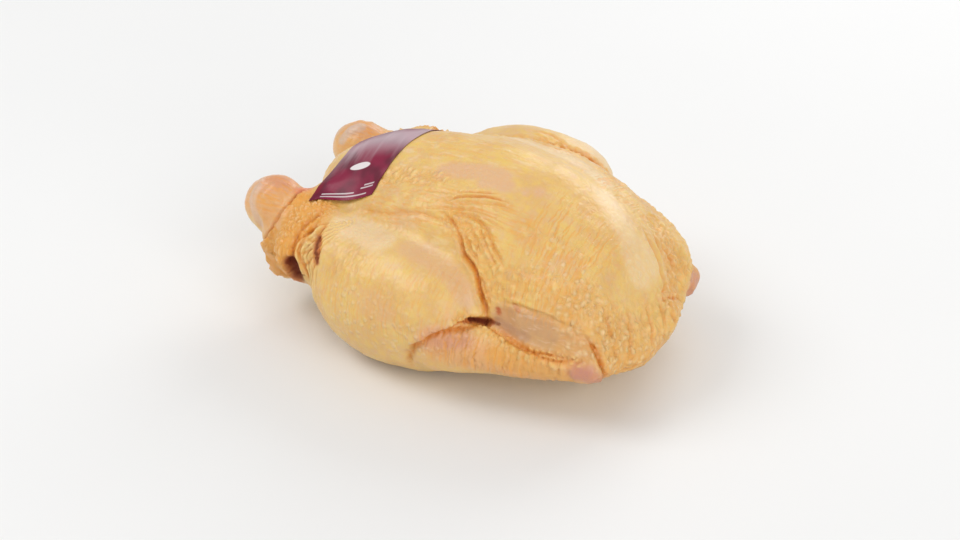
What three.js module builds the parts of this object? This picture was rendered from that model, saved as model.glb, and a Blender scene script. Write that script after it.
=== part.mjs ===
// A whole raw chicken lying on its back, with a band-shaped label laid over its belly.
// Millimetres, +Z up. +X runs towards the neck, and the bird's middle plane is about y = 0.
// The bird is one piece of flesh and skin, so its muscles and limbs are masses of one field,
// blended into each other, and its skin is the surface where that field is zero.
import * as THREE from "three";

// Driving sizes.
const CELL = 6.5; // the grid that the skin is sampled on
const SMOOTHING_ROUNDS = 4;
const FLATTENING = 5; // how softly the flesh turns from its sides to the face that it rests on
const SPACE = new THREE.Box3(new THREE.Vector3(-160, -125, -20), new THREE.Vector3(160, 125, 130));
const LABEL = { lift: 0.8, thickness: 0.6, stepsAround: 26, stepsAlong: 10, stiffness: 12 };

// A muscle: an ellipsoid with its middle, its three radii, its turn about Y and Z in degrees,
// and how softly it runs into the masses before it.
const muscle = (at, radii, { pitch = 0, yaw = 0, blend = 12 } = {}) => {
  const turn = new THREE.Matrix4().makeRotationFromEuler(
    new THREE.Euler(0, THREE.MathUtils.degToRad(pitch), THREE.MathUtils.degToRad(yaw), "ZYX"),
  );
  const inverse = turn.setPosition(...at).invert();
  const local = new THREE.Vector3();
  const [a, b, c] = radii;
  const distance = (point) => {
    local.copy(point).applyMatrix4(inverse);
    const scaled = Math.hypot(local.x / a, local.y / b, local.z / c);
    const steepness = Math.hypot(local.x / a ** 2, local.y / b ** 2, local.z / c ** 2);
    return steepness < 1e-9 ? -Math.min(a, b, c) : (scaled * (scaled - 1)) / steepness;
  };
  return { distance, blend };
};

// A limb: a round bone of flesh from one end to the other, thicker at one end.
const limb = (from, to, radiusFrom, radiusTo, blend = 8) => {
  const start = new THREE.Vector3(...from);
  const run = new THREE.Vector3(...to).sub(start);
  const away = new THREE.Vector3();
  const distance = (point) => {
    away.copy(point).sub(start);
    const share = THREE.MathUtils.clamp(away.dot(run) / run.lengthSq(), 0, 1);
    const radius = THREE.MathUtils.lerp(radiusFrom, radiusTo, share);
    return away.addScaledVector(run, -share).length() - radius;
  };
  return { distance, blend };
};

// A ridge: limbs end to end, each as [x, y, z, radius], with no knuckles between them.
const ridge = (points, blend) => {
  const links = points.slice(1).map((to, n) => {
    const from = points[n];
    return limb(from.slice(0, 3), to.slice(0, 3), from[3], to[3]);
  });
  return { distance: (point) => Math.min(...links.map((link) => link.distance(point))), blend };
};

// The rib cage and belly, the two breast fillets, and the crop end under the neck skin.
const trunk = [
  muscle([8, 0, 44], [102, 56, 55]),
  muscle([-47, 0, 54], [52, 48, 41], { blend: 20 }),
  muscle([32, -25, 62], [76, 39, 42], { pitch: 5, blend: 24 }),
  muscle([29, 25, 61], [73, 38, 42], { pitch: 6, blend: 24 }),
  muscle([76, -10, 46], [40, 56, 38], { blend: 16 }),
];

// The breastbone's crest under the skin, from the belly over the top and down to the neck.
const keel = ridge(
  [
    [-86, 0, 66, 14],
    [-50, 0, 85, 16],
    [-15, 0, 91, 17],
    [20, -2, 94, 17],
    [50, -3, 90, 16],
    [79, -5, 74, 14],
    [98, -6, 54, 12],
    [104, -7, 38, 12],
  ],
  24,
);

// The slack skin of the neck, folded under the breast from one shoulder to the other.
const neckSkin = ridge(
  [
    [99, -58, 36, 12],
    [115, -28, 35, 13],
    [111, 10, 37, 13],
    [98, 37, 42, 12],
  ],
  14,
);
const neckFlap = limb([112, -4, 46], [124, -8, 41], 11, 8, 6);

const shoulders = [
  limb([82, -40, 60], [100, -52, 44], 25, 14, 10),
  limb([70, 38, 50], [95, 33, 45], 25, 22.5, 12),
];

// The slack skin between the vent and each drumstick.
const rump = (side) => muscle([-76, side * 34, 40], [27, 26, 24], { yaw: -side * 20, blend: 14 });

// Each leg: the thigh, the drumstick that runs back from the knee, and the cut hock joint.
const nearLeg = [
  muscle([-10, -62, 38], [59, 34, 38], { yaw: 4, blend: 8 }),
  limb([12, -67, 46], [-72, -54, 54], 29, 20, 6),
];

const farLeg = [
  muscle([-4, 62, 51], [53, 34, 43], { pitch: -9, yaw: -4, blend: 10 }),
  limb([21, 66, 60], [-72, 54, 55], 29, 20, 8),
];

const hock = (side, height) => [
  limb([-72, side * 52, 56], [-106, side * 46, height - 3], 15, 14, 12),
  muscle([-113, side * 44, height], [20, 16.5, 18.5], { pitch: -26, blend: 3 }),
];

// The strap of belly skin that each leg is tucked through, and the skin ruffled up beside it.
const skinStrap = (side) => [
  ridge(
    [
      [-84, side * 12, 28, 12],
      [-95, side * 36, 23, 10],
      [-104, side * 54, 29, 9],
      [-102, side * 58, 46, 10],
      [-94, side * 49, 63, 10],
      [-76, side * 26, 74, 12],
    ],
    6,
  ),
  muscle([-79, side * 59, 53], [15, 24, 23], { yaw: side * 8, blend: 7 }),
];

// Each wing: the upper arm against the breast, the forearm folded back on it, and the wrist.
const nearWing = [
  limb([84, -44, 58], [26, -58, 46], 18, 13, 10),
  limb([20, -78, 31], [92, -62, 36], 16, 12, 2),
  muscle([103, -60, 37], [14, 12, 12], { blend: 3 }),
];

const farWing = [
  limb([84, 44, 52], [26, 60, 40], 18, 14, 10),
  limb([8, 74, 26], [92, 52, 26], 16, 12, 4),
  muscle([106, 49, 31], [13, 10, 10], { blend: 3 }),
];

const tail = limb([-76, 0, 24], [-112, 0, 30], 20, 8, 12);

const masses = [
  ...trunk,
  keel,
  neckSkin,
  neckFlap,
  ...shoulders,
  rump(-1),
  rump(1),
  ...nearLeg,
  ...farLeg,
  ...hock(-1, 62),
  ...hock(1, 60),
  ...nearWing,
  ...farWing,
  ...skinStrap(-1),
  ...skinStrap(1),
  tail,
];

// Joins two distances with a fillet of about the given size.
const smoothMin = (a, b, size) => {
  const near = Math.max(size - Math.abs(a - b), 0) / size;
  return Math.min(a, b) - (near * near * size) / 4;
};

const flesh = (point) =>
  masses.reduce(
    (nearest, { distance, blend }) => smoothMin(nearest, distance(point), blend),
    Number.MAX_VALUE,
  );

// The flesh as it lies: flattened by its own weight where it rests on the ground, z = 0.
const lyingFlesh = (point) => -smoothMin(-flesh(point), point.z, FLATTENING);

const slope = (field, point) => {
  const step = 0.05;
  const gradient = ["x", "y", "z"].map((axis) => {
    const ahead = point.clone();
    const behind = point.clone();
    ahead[axis] += step;
    behind[axis] -= step;
    return (field(ahead) - field(behind)) / (2 * step);
  });
  return new THREE.Vector3(...gradient);
};

// Moves a point onto the surface where the field is zero.
const settle = (field, point, rounds = 3) => {
  for (let i = 0; i < rounds; i++) {
    const gradient = slope(field, point);
    point.addScaledVector(gradient, -field(point) / Math.max(gradient.lengthSq(), 0.05));
  }
  return point;
};

// The surface where a field is zero, as one closed mesh: a vertex in each grid cell that the
// surface passes through, and two triangles round each grid edge that it crosses.
function surfaceOf(field, box, cell) {
  const size = box.getSize(new THREE.Vector3());
  const [nx, ny, nz] = size.toArray().map((length) => Math.ceil(length / cell) + 1);
  const corner = (i, j, k) => new THREE.Vector3(i, j, k).multiplyScalar(cell).add(box.min);
  const index = (i, j, k) => (k * ny + j) * nx + i;
  const values = new Float64Array(nx * ny * nz);
  for (let k = 0; k < nz; k++)
    for (let j = 0; j < ny; j++)
      for (let i = 0; i < nx; i++) values[index(i, j, k)] = field(corner(i, j, k));

  const steps = [
    [1, 0, 0],
    [0, 1, 0],
    [0, 0, 1],
  ];
  const vertices = [];
  const vertexOf = new Map();
  const cellVertex = (i, j, k) => {
    const key = index(i, j, k);
    if (vertexOf.has(key)) return vertexOf.get(key);
    const middle = new THREE.Vector3();
    let crossings = 0;
    steps.forEach(([dx, dy, dz], axis) => {
      for (const u of [0, 1])
        for (const v of [0, 1]) {
          const offset = [u, v];
          offset.splice(axis, 0, 0);
          const [a, b, c] = [i + offset[0], j + offset[1], k + offset[2]];
          const first = values[index(a, b, c)];
          const second = values[index(a + dx, b + dy, c + dz)];
          if (first < 0 === second < 0) continue;
          const share = first / (first - second);
          middle.add(corner(a + dx * share, b + dy * share, c + dz * share));
          crossings++;
        }
    });
    vertices.push(middle.divideScalar(crossings));
    vertexOf.set(key, vertices.length - 1);
    return vertices.length - 1;
  };

  const cellsRoundEdge = [
    [0, 0],
    [1, 0],
    [1, 1],
    [0, 1],
  ];
  const quads = [];
  for (let k = 1; k < nz - 1; k++)
    for (let j = 1; j < ny - 1; j++)
      for (let i = 1; i < nx - 1; i++)
        steps.forEach(([dx, dy, dz], axis) => {
          const inside = values[index(i, j, k)] < 0;
          if (inside === values[index(i + dx, j + dy, k + dz)] < 0) return;
          const [u, v] = [steps[(axis + 1) % 3], steps[(axis + 2) % 3]];
          const round = cellsRoundEdge.map(([a, b]) =>
            cellVertex(i - a * u[0] - b * v[0], j - a * u[1] - b * v[1], k - a * u[2] - b * v[2]),
          );
          quads.push(inside ? round : round.reverse());
        });

  const neighbours = vertices.map(() => new Set());
  for (const quad of quads)
    quad.forEach((v, n) => {
      neighbours[v].add(quad[(n + 1) % 4]);
      neighbours[v].add(quad[(n + 3) % 4]);
    });
  for (let round = 0; round < SMOOTHING_ROUNDS; round++) {
    const moved = vertices.map((vertex, v) => {
      const mean = new THREE.Vector3();
      for (const n of neighbours[v]) mean.add(vertices[n]);
      mean.divideScalar(neighbours[v].size);
      return settle(field, vertex.clone().lerp(mean, 0.5), 2);
    });
    moved.forEach((point, v) => vertices[v].copy(point));
  }
  vertices.forEach((vertex) => settle(field, vertex));

  const faces = quads.flatMap(([a, b, c, d]) =>
    vertices[a].distanceTo(vertices[c]) < vertices[b].distanceTo(vertices[d])
      ? [a, b, c, a, c, d]
      : [a, b, d, b, c, d],
  );
  return meshOf(vertices, faces);
}

function meshOf(vertices, faces) {
  const positions = vertices.flatMap((vertex) => vertex.toArray());
  return new THREE.BufferGeometry()
    .setAttribute("position", new THREE.Float32BufferAttribute(positions, 3))
    .setIndex(faces);
}

// The label's two long edges in plan, from its near end over the belly to its far end.
const labelRearEdge = new THREE.SplineCurve([
  new THREE.Vector2(-84, -51),
  new THREE.Vector2(-87, -24),
  new THREE.Vector2(-83, 8),
  new THREE.Vector2(-83, 40),
]);
const labelFrontEdge = new THREE.SplineCurve([
  new THREE.Vector2(-48, -39),
  new THREE.Vector2(-45, -20),
  new THREE.Vector2(-39, 7),
  new THREE.Vector2(-39, 38),
]);

const heightOfSkin = (x, y) => {
  const point = new THREE.Vector3(x, y, SPACE.max.z);
  for (let i = 0; i < 200; i++) {
    const gap = flesh(point);
    if (gap < 0.005) break;
    point.z -= gap * 0.5;
  }
  return point.z;
};

// The label is a thin film: it follows the skin, and lies flatter over the hollows.
function labelGeometry({ lift, thickness, stepsAround, stepsAlong, stiffness }) {
  const film = new THREE.PlaneGeometry(1, 1, stepsAlong, stepsAround);
  const place = film.attributes.position;
  for (let v = 0; v < place.count; v++) {
    const around = place.getY(v) + 0.5;
    const along = place.getX(v) + 0.5;
    const plan = labelRearEdge.getPointAt(around).lerp(labelFrontEdge.getPointAt(around), along);
    place.setXYZ(v, plan.x, plan.y, heightOfSkin(plan.x, plan.y));
  }
  const skinHeights = Array.from({ length: place.count }, (_, v) => place.getZ(v));
  const row = stepsAlong + 1;
  for (let round = 0; round < stiffness; round++)
    for (let v = 0; v < place.count; v++) {
      const beside = [];
      if (v >= row && v + row < place.count) beside.push(v - row, v + row);
      if (v % row > 0 && v % row < stepsAlong) beside.push(v - 1, v + 1);
      if (beside.length === 0) continue;
      const mean = beside.reduce((sum, n) => sum + place.getZ(n), 0) / beside.length;
      place.setZ(v, Math.max(skinHeights[v], mean));
    }
  film.computeVertexNormals();

  const layer = (height) =>
    Array.from({ length: place.count }, (_, v) => {
      const normal = new THREE.Vector3().fromBufferAttribute(film.attributes.normal, v);
      return new THREE.Vector3().fromBufferAttribute(place, v).addScaledVector(normal, height);
    });
  const vertices = [...layer(lift), ...layer(lift + thickness)];
  const faces = [];
  const triangles = film.index.array;
  const edges = new Map();
  for (let t = 0; t < triangles.length; t += 3) {
    const [a, b, c] = triangles.slice(t, t + 3);
    faces.push(a + place.count, b + place.count, c + place.count, c, b, a);
    for (const [from, to] of [
      [a, b],
      [b, c],
      [c, a],
    ])
      edges.set(`${from},${to}`, [from, to]);
  }
  for (const [from, to] of edges.values())
    if (!edges.has(`${to},${from}`))
      faces.push(from, to, to + place.count, from, to + place.count, from + place.count);
  return meshOf(vertices, faces);
}

const skin = new THREE.MeshStandardMaterial({ color: 0xe2b566, roughness: 0.45 });
const chicken = new THREE.Mesh(surfaceOf(lyingFlesh, SPACE, CELL), skin);
chicken.name = "chicken";

const print = new THREE.MeshStandardMaterial({ color: 0x5d1230, roughness: 0.25 });
const label = new THREE.Mesh(labelGeometry(LABEL), print);
label.name = "label";

const bird = new THREE.Group();
bird.add(chicken, label);

// The origin is on the ground, under the middle of the bird.
const middle = new THREE.Box3().setFromObject(bird).getCenter(new THREE.Vector3());
bird.position.set(-middle.x, -middle.y, 0);

export default bird;
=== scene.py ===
import math

import bpy
import numpy as np
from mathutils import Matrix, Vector, noise
from mathutils.bvhtree import BVHTree


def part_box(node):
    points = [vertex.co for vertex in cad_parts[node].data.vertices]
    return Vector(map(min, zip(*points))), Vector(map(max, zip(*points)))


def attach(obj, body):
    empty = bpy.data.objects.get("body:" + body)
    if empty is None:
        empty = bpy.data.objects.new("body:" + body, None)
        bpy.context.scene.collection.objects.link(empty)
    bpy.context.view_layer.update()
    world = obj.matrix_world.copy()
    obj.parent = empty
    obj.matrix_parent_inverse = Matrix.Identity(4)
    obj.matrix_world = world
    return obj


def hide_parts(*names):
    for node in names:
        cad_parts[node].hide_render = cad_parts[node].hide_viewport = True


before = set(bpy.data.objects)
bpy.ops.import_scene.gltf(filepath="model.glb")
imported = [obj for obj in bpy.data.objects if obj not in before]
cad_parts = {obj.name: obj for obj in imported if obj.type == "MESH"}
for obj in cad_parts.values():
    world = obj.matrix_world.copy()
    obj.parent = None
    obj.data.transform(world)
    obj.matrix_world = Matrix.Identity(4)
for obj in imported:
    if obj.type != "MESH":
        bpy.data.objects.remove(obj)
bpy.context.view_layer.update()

bpy.ops.object.select_all(action="DESELECT")

# ---------------------------------------------------------------------------
# The table that the bird is photographed on: a plain pale sheet, seen from the
# front left and above. Its light is large and soft, from the upper left.
# ---------------------------------------------------------------------------

MM = 0.001


class Wire:
    """One socket of a material's nodes. Arithmetic on it adds the Math nodes."""

    def __init__(self, tree, socket=None):
        self.tree = tree
        self.socket = socket

    def node(self, kind, settings=None, inputs=None, output=0):
        """Adds a node: its settings first, then its sockets' values or links."""
        made = self.tree.nodes.new(kind)
        for name, value in (settings or {}).items():
            setattr(made, name, value)
        for name, value in (inputs or {}).items():
            if isinstance(value, Wire):
                self.tree.links.new(value.socket, made.inputs[name])
            elif isinstance(value, tuple) and len(value) == 3 and made.inputs[name].type == "RGBA":
                made.inputs[name].default_value = (*value, 1)
            else:
                made.inputs[name].default_value = value
        return Wire(self.tree, made.outputs[output])

    def maths(self, operation, *values):
        return self.node("ShaderNodeMath", {"operation": operation}, dict(enumerate(values)))

    def __add__(self, other):
        return self.maths("ADD", self, other)

    __radd__ = __add__

    def __sub__(self, other):
        return self.maths("SUBTRACT", self, other)

    def __rsub__(self, other):
        return self.maths("SUBTRACT", other, self)

    def __mul__(self, other):
        return self.maths("MULTIPLY", self, other)

    __rmul__ = __mul__

    def between(self, low, high):
        """0 where the value is at low, 1 where it is at high, smooth in between."""
        settings = {"interpolation_type": "SMOOTHSTEP"}
        values = {0: self, 1: low, 2: high, 3: 0.0, 4: 1.0}
        return self.node("ShaderNodeMapRange", settings, values)

    def clouds(self, place, size, detail=2.0, roughness=0.5):
        """Soft noise with clouds of that size in metres, from 0 to 1."""
        values = {"Vector": place, "Scale": 1 / size, "Detail": detail, "Roughness": roughness}
        return self.node("ShaderNodeTexNoise", {}, values)

    def pebbles(self, place, size, feature="F1", disorder=1.0):
        """Distance from the nearest pebble's middle, or from its edge, in pebble sizes."""
        values = {"Vector": place, "Scale": 1 / size, "Randomness": disorder}
        return self.node("ShaderNodeTexVoronoi", {"feature": feature}, values)

    def stretched(self, place, x, y, z):
        """Places that are stretched: a small number makes long shapes that way."""
        settings = {"operation": "MULTIPLY"}
        return self.node("ShaderNodeVectorMath", settings, {0: place, 1: (x, y, z)})

    def over(self, below, colour):
        """A colour laid over another where this wire is 1."""
        values = {0: self, 6: below, 7: colour}
        settings = {"data_type": "RGBA", "clamp_factor": True}
        return self.node("ShaderNodeMix", settings, values, output=2)

    def mask(self, name):
        """A mask painted on the piece's points."""
        return self.node("ShaderNodeAttribute", {"attribute_name": name}, output=2)


def new_material(name):
    """A bare material, its nodes' first wire, and its shader."""
    material = bpy.data.materials.new(name)
    material.use_nodes = True
    shader = material.node_tree.nodes["Principled BSDF"]
    return material, Wire(material.node_tree), shader


def feed(wire, shader, socket):
    """Links a wire to one of the shader's sockets."""
    wire.tree.links.new(wire.socket, shader.inputs[socket])


FLOOR_SIZE = 6.0
FLOOR_COLOUR = (0.86, 0.86, 0.855)
FLOOR_SHADE = (0.84, 0.84, 0.835)
FLOOR_CLOUD = 0.4
FLOOR_ROUGHNESS = 0.65

bpy.ops.mesh.primitive_plane_add(size=FLOOR_SIZE, location=(0, 0, 0))
floor = bpy.context.object
floor.name = "floor"
floor_finish, nodes, floor_shader = new_material("pale_table")
grain = nodes.clouds(nodes.node("ShaderNodeTexCoord", output=3), FLOOR_CLOUD)
tone = grain.between(0.2, 0.8).over(FLOOR_COLOUR, FLOOR_SHADE)
feed(tone, floor_shader, "Base Color")
floor_shader.inputs["Roughness"].default_value = FLOOR_ROUGHNESS
floor.data.materials.append(floor_finish)

# The lens looks at the middle of the breast from a metre away.
LOOK_AT = Vector((0.7 * MM, 0, 30 * MM))
LOOK_FROM = LOOK_AT + Vector((0.4420, -0.7270, 0.5255))
SENSOR_WIDTH = 36.0
FOCAL_LENGTH = 63.75
NEAREST = 0.05

lens = bpy.data.cameras.new("camera")
lens.sensor_width = SENSOR_WIDTH
lens.lens = FOCAL_LENGTH
lens.clip_start = NEAREST
camera = bpy.data.objects.new("camera", lens)
bpy.context.scene.collection.objects.link(camera)
camera.location = LOOK_FROM
camera.rotation_euler = (LOOK_AT - LOOK_FROM).to_track_quat("-Z", "Y").to_euler()
bpy.context.scene.camera = camera


def soft_light(name, place, size, watts):
    """A square softbox at a place, turned to the bird."""
    box = bpy.data.lights.new(name, "AREA")
    box.size = size
    box.energy = watts
    light = bpy.data.objects.new(name, box)
    bpy.context.scene.collection.objects.link(light)
    light.location = place
    light.rotation_euler = (LOOK_AT - Vector(place)).to_track_quat("-Z", "Y").to_euler()


soft_light("light_left", (-1.1, -0.6, 1.5), 1.0, 13)
soft_light("light_back", (0.0, 1.6, 1.0), 1.1, 11)
soft_light("light_right", (1.6, -0.9, 1.0), 1.2, 14)

ROOM_LIGHT = 0.56

world = bpy.data.worlds.new("studio")
world.use_nodes = True
world.node_tree.nodes["Background"].inputs["Color"].default_value = (1, 1, 1, 1)
world.node_tree.nodes["Background"].inputs["Strength"].default_value = ROOM_LIGHT
bpy.context.scene.world = world
bpy.context.scene.view_settings.view_transform = "Standard"

# ---------------------------------------------------------------------------
# The bird's skin: one continuous moist yellow skin over flesh and fat, plucked
# and trimmed. It is drawn tight over the breast and hangs in folds where the
# legs, the wings and the two skin straps that hold the hocks pull on it.
# ---------------------------------------------------------------------------

WELD = 0.02 * MM
GROUND_FADE = 4 * MM
CELL_SLOPE = 1.7
FAR_AWAY = 1e9
TINY = 1e-6
# A crease: the share of its width that its sides take, the share of its depth
# that it is pushed in, where its lips stand, the share of its route over which
# it starts and ends, and how deep it still is at its very ends.
CREASE_SIDES = 0.75
CREASE_DEPTH = 0.62
LIP_PLACE = 2.2
CREASE_END = 0.25
END_DEPTH = 0.2
# An overlap: where its step starts and is full, the groove at its foot, how far
# that groove reaches, its depth, and the share of the route that its ends take.
STEP_START = -0.4 * MM
STEP_FULL = 0.9 * MM
GROOVE_PLACE = -0.5 * MM
GROOVE_WIDTH = 0.8 * MM
GROOVE_REACH = 3 * MM
GROOVE_DEPTH = 0.6
OVERLAP_END = 0.2


def smooth(value, low, high):
    """0 where value is at low, 1 at high, smooth in between."""
    t = np.clip((value - low) / (high - low), 0, 1)
    return t * t * (3 - 2 * t)


def mirrored(route):
    return [(x, -y, z) for x, y, z in route]


class Surface:
    """The skin's points, and the ways in which it is pinched, puffed and painted."""

    def __init__(self, piece):
        mesh = piece.data
        self.points = np.zeros(len(mesh.vertices) * 3)
        mesh.vertices.foreach_get("co", self.points)
        self.points = self.points.reshape(-1, 3)
        self.normals = np.zeros(len(mesh.vertices) * 3)
        mesh.vertices.foreach_get("normal", self.normals)
        self.normals = self.normals.reshape(-1, 3)
        self.tree = BVHTree.FromPolygons(
            [tuple(p) for p in self.points], [tuple(f.vertices) for f in mesh.polygons]
        )
        self.rest = self.points.copy()
        self.masks = {}

    def laid(self, route):
        """A route in millimetres, with each point brought onto the skin, in metres."""
        return np.array([self.tree.find_nearest(Vector(p) * MM)[0] for p in route])

    def along(self, route):
        """Each point's distance from a route on the skin, how far along it it is, the
        route's length, and the distance again, negative on the route's right hand."""
        line = self.laid(route)
        if len(line) == 1:
            line = np.array([line[0], line[0] + TINY])
        near = np.full(len(self.rest), FAR_AWAY)
        where = np.zeros(len(self.rest))
        hand = np.zeros(len(self.rest))
        passed = 0.0
        for start, end in zip(line[:-1], line[1:]):
            step = end - start
            length = np.linalg.norm(step)
            share = np.clip((self.rest - start) @ step / max(length**2, TINY**2), 0, 1)
            offset = self.rest - start - share[:, None] * step
            away = np.linalg.norm(offset, axis=1)
            closer = away < near
            left = np.einsum("ij,ij->i", np.cross(self.normals, step), offset)
            near = np.where(closer, away, near)
            hand = np.where(closer, np.sign(left), hand)
            where = np.where(closer, passed + share * length, where)
            passed += length
        return near, where, passed, near * hand

    def around(self, route, reach, fade=0.5):
        """1 near a route, falling to 0 at its reach in millimetres."""
        return smooth(self.along(route)[0] / (reach * MM), 1.0, 1.0 - fade)

    def noise(self, size, seed=0.0, stretch=(1, 1, 1)):
        """Smooth noise over the skin with lumps of that size in millimetres."""
        places = self.rest * np.array(stretch) / (size * MM) + seed
        return np.array([noise.noise(Vector(p)) for p in places])

    def cells(self, size, seed=0.0, stretch=(1, 1, 1)):
        """Pebbles of that size in millimetres: 1 on their tops, 0 in the gaps."""
        places = self.rest * np.array(stretch) / (size * MM) + seed
        found = [noise.voronoi(Vector(p))[0] for p in places]
        return np.clip(np.array([d[1] - d[0] for d in found]) * CELL_SLOPE, 0, 1)

    def push(self, amount):
        """Moves the skin in or out along its normals, in millimetres, not at the ground."""
        height = np.clip(self.rest[:, 2] / GROUND_FADE, 0, 1)
        self.points += self.normals * (amount * height * MM)[:, None]

    def paint(self, name, amount):
        """Adds to a mask; the strongest touch stays."""
        before = self.masks.get(name, np.zeros(len(self.points)))
        self.masks[name] = np.maximum(before, np.clip(amount, 0, 1))

    def crease(self, depth, width, lip, orange, route):
        """Pinches a crease along a route, with soft ends, and colours its bottom."""
        away, where, length, _ = self.along(route)
        away = away / (CREASE_SIDES * width * MM)
        run_in = CREASE_END * length
        ends = smooth(where, 0, run_in) * smooth(where, length, length - run_in)
        ends = END_DEPTH + (1 - END_DEPTH) * ends
        valley = np.exp(-1.3 * away ** 1.25)
        beside = np.exp(-((away - LIP_PLACE) ** 2))
        self.push((lip * beside - CREASE_DEPTH * depth * valley) * ends)
        self.paint("crease", orange * ends * np.exp(-1.0 * away ** 1.5))
        # The crease's very bottom gets a painted shade as well as its orange.
        self.paint("crease_shade", orange**2 * ends * np.exp(-((away * 1.5) ** 2)))

    def beyond(self, route):
        """1 on the left hand of a route, 0 on its right hand, seen from outside."""
        return smooth(self.along(route)[3], -0.5 * MM, 0.5 * MM)

    def overlap(self, height, reach, orange, route):
        """Lays the skin on the left hand of a route over the skin on its right hand."""
        away, where, length, signed = self.along(route)
        run_in = OVERLAP_END * length
        ends = smooth(where, 0, run_in) * smooth(where, length, length - run_in)
        upper = np.exp(-((away / (reach * MM)) ** 2)) * smooth(signed, STEP_START, STEP_FULL)
        groove = np.exp(-(((signed - GROOVE_PLACE) / GROOVE_WIDTH) ** 2))
        groove = groove * (away < GROOVE_REACH)
        self.push(ends * height * (upper - GROOVE_DEPTH * groove))
        self.paint("crease", orange * ends * groove)
        # The groove's bottom gets a painted shade as well as its orange.
        self.paint("crease_shade", orange**2 * ends * groove**2)


# Each crease: its depth, its width, the height of the lips beside it, how deep
# an orange its bottom is, which also sets the painted shade along its very
# bottom, and its route over the skin in millimetres.
BOTH_SIDES = [
    (1.5, 2.2, 0.3, 0.35, [(-64, -54, 76), (-46, -45, 78), (-29, -49, 83), (-20, -49, 87),
                           (-7, -50, 91), (4, -52, 92), (13, -52, 93), (23, -54, 91)]),
    (1.6, 1.6, 0.5, 0.8, [(6, -49, 95), (12, -51, 94), (19, -54, 91), (23, -57, 87),
                          (26, -60, 83), (28, -61, 80), (33, -62, 77)]),
    (3.4, 1.7, 0.8, 1.0, [(23, -57, 87), (26, -60, 83), (28, -61, 80), (33, -62, 77),
                          (37, -63, 73), (39, -65, 69), (41, -66, 65), (44, -68, 60),
                          (46, -69, 58), (48, -71, 51), (46, -74, 49)]),
    (1.6, 1.4, 0.6, 0.55, [(12, -48, 96), (18, -48, 97), (25, -48, 97), (31, -49, 96),
                          (36, -51, 94), (40, -54, 91), (43, -56, 87), (48, -58, 83),
                          (53, -60, 77)]),
    (1.3, 1.2, 0.5, 0.4, [(22, -54, 91), (29, -58, 86), (34, -60, 81), (37, -62, 78)]),
    (1.4, 1.2, 0.5, 0.5, [(34, -52, 93), (37, -55, 89), (43, -58, 83), (46, -60, 80),
                          (43, -62, 76)]),
    (1.1, 1.1, 0.5, 0.4, [(28, -54, 91), (34, -57, 88), (34, -60, 82)]),
    (1.4, 1.2, 0.6, 0.45, [(39, -63, 73), (43, -65, 67), (46, -67, 62), (49, -68, 58)]),
    (1.2, 1.1, 0.5, 0.4, [(41, -67, 65), (44, -68, 61), (46, -69, 59)]),
    (3.0, 2.2, 0.6, 0.9, [(52, -69, 51), (48, -71, 50), (45, -74, 49), (40, -80, 48),
                          (35, -86, 48), (30, -90, 47), (26, -92, 45), (16, -92, 36),
                          (10, -90, 24), (8, -86, 12)]),
    (1.6, 2.0, 0.7, 0.8, [(54, -69, 49), (60, -72, 47), (68, -74, 46), (75, -75, 44),
                          (83, -75, 42), (92, -73, 41), (101, -71, 43), (107, -70, 42)]),
    (0.7, 1.6, 0.6, 0.15, [(50, -67, 60), (60, -66, 63), (71, -67, 63), (84, -66, 62),
                          (97, -64, 58), (107, -63, 52)]),
    (1.0, 1.6, 0.3, 0.3, [(99, -71, 43), (100, -73, 38), (99, -72, 31), (98, -68, 24)]),
    (2.6, 1.9, 1.0, 0.9, [(105, -62, 54), (111, -63, 49), (115, -64, 42), (116, -62, 34),
                          (115, -58, 26)]),
    (2.4, 1.8, 0.8, 0.9, [(-73, -48, 76), (-70, -60, 75), (-73, -68, 73), (-74, -75, 68),
                          (-75, -79, 62), (-74, -80, 56), (-72, -79, 51), (-72, -76, 42)]),
    (1.8, 1.5, 0.7, 0.6, [(-90, -34, 77), (-94, -47, 76), (-94, -56, 72), (-98, -61, 66),
                          (-101, -64, 58), (-106, -64, 51), (-111, -59, 42)]),
    (1.7, 1.4, 0.8, 0.8, [(-66, -60, 75), (-68, -70, 70), (-71, -75, 65), (-72, -78, 61),
                          (-69, -78, 54), (-66, -77, 46), (-67, -75, 37)]),
    (1.5, 1.4, 0.8, 0.8, [(-64, -56, 75), (-62, -64, 73), (-63, -69, 69), (-62, -74, 64),
                          (-62, -76, 58), (-60, -78, 55), (-61, -79, 44)]),
    (2.6, 1.7, 0.9, 1.0, [(-62, -69, 70), (-60, -72, 66), (-59, -75, 62), (-59, -78, 58)]),
    (1.3, 1.2, 0.5, 0.6, [(-70, -73, 67), (-65, -73, 66), (-62, -70, 69)]),
    (1.3, 1.2, 0.5, 0.6, [(-71, -78, 59), (-66, -76, 61), (-62, -74, 64)]),
    (1.2, 1.2, 0.5, 0.6, [(-69, -78, 51), (-65, -77, 55), (-62, -76, 60)]),
    (0.35, 1.4, 0.2, 0.2, [(-108, -48, 80), (-101, -53, 75), (-94, -59, 70)]),
    (0.35, 1.4, 0.2, 0.2, [(-110, -55, 75), (-103, -58, 69), (-94, -63, 66)]),
    (0.35, 1.4, 0.2, 0.2, [(-114, -59, 68), (-108, -60, 62), (-101, -63, 59)]),
    (0.6, 2.4, 0.5, 0.15, [(-106, -40, 81), (-112, -49, 80), (-116, -55, 74), (-114, -58, 67),
                           (-111, -57, 56), (-108, -50, 48)]),
]
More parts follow.
